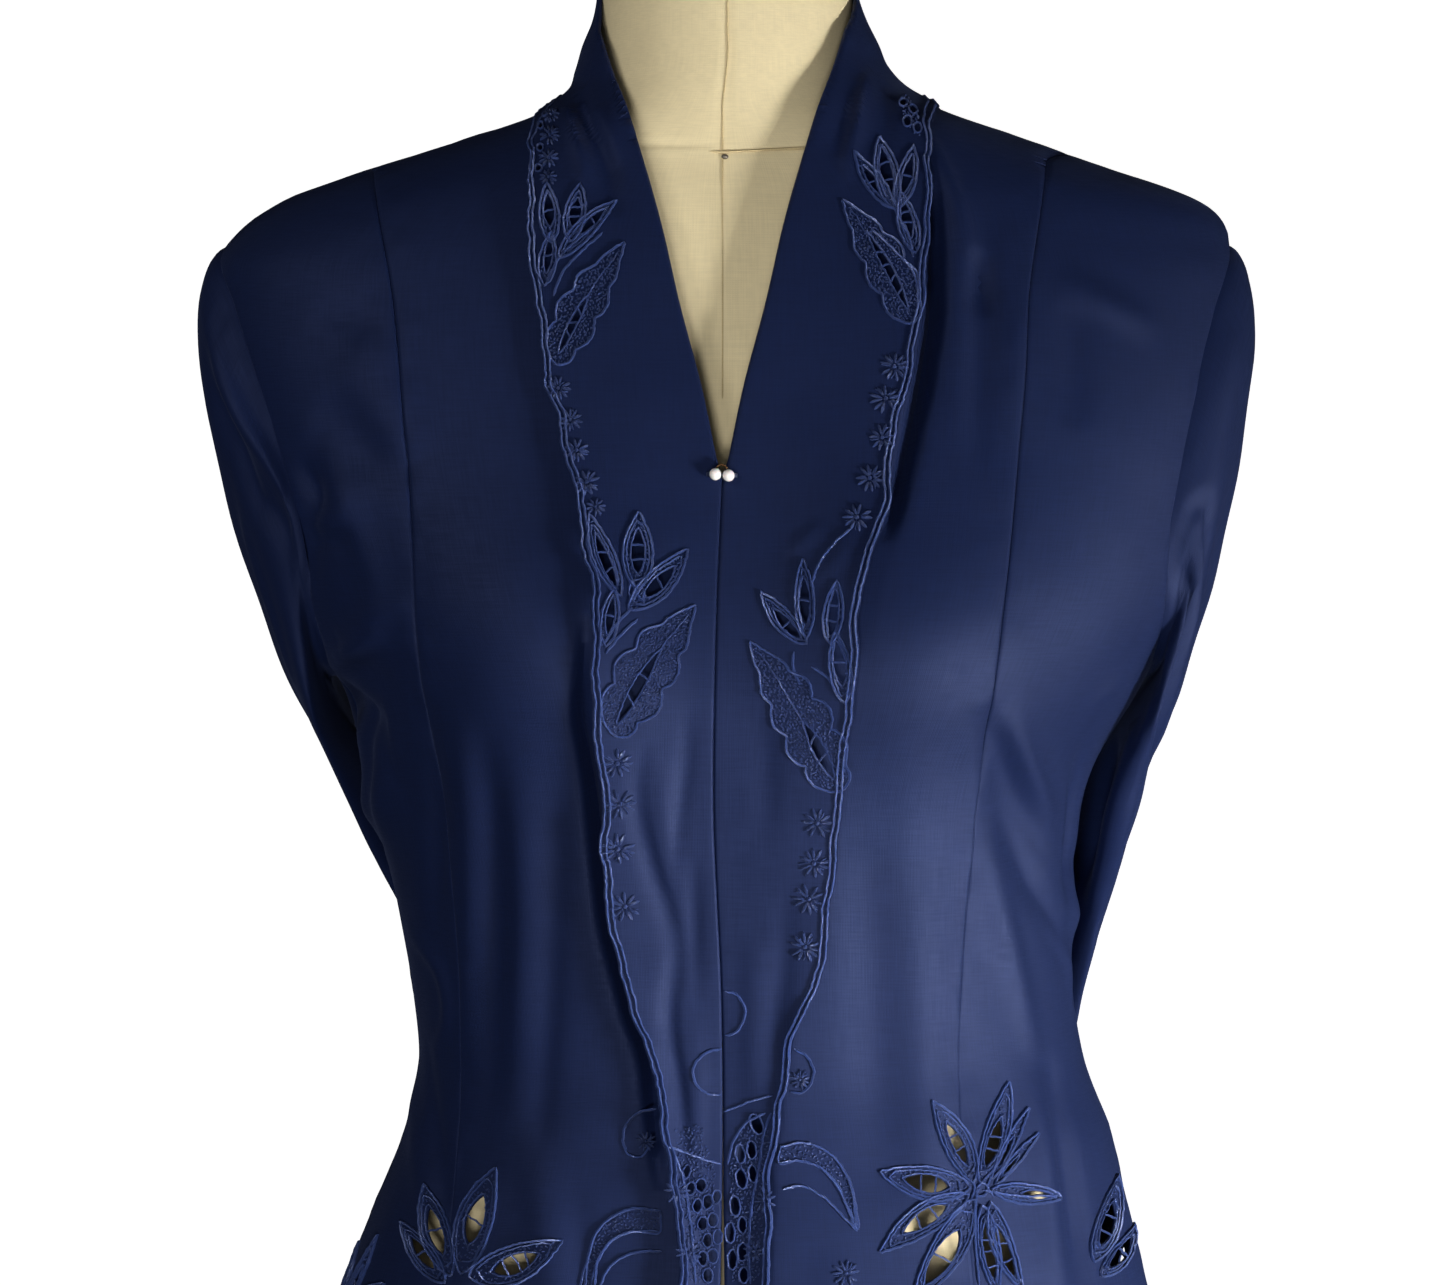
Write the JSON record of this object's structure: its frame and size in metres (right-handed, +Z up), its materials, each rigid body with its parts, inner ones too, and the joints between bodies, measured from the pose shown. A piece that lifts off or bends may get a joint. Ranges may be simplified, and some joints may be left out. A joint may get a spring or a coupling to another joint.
{
  "type": "peranakan kebaya blouse on a limbless dress form with a round base",
  "caption": "Fitted navy long-sleeved kebaya with cutwork lapels and a pearl clasp, on a canvas dress form with a pole and a round base.",
  "frame": {"origin": "middle of the underside of the stand's round base", "axes": "+Z up, the front of the blouse towards -Y, the wearer's left towards +X"},
  "size_m": [0.446, 0.38, 1.5293],
  "materials": {
    "navy_cloth": "matt navy cotton voile, plain weave",
    "navy_band": "the same navy cotton, embroidered tone on tone with a faint thread gloss",
    "pearl": "imitation pearl, glossy cream",
    "canvas": "unbleached canvas, matt beige, tightly stretched",
    "cap_wood": "satin varnished wood",
    "pole_steel": "brushed steel tube",
    "base_paint": "satin black paint"
  },
  "bodies": {
    "root": {"front_centre_left": "navy_cloth", "front_centre_right": "navy_cloth", "front_side_left": "navy_cloth", "front_side_right": "navy_cloth", "back": "navy_cloth", "sleeve_left": "navy_cloth", "sleeve_right": "navy_cloth", "lapel_left": "navy_band", "lapel_right": "navy_band", "pearl_left": "pearl", "pearl_right": "pearl", "form_torso": "canvas", "form_neck_cap": "cap_wood", "form_pole": "pole_steel", "form_base": "base_paint"}
  },
  "joints": []
}
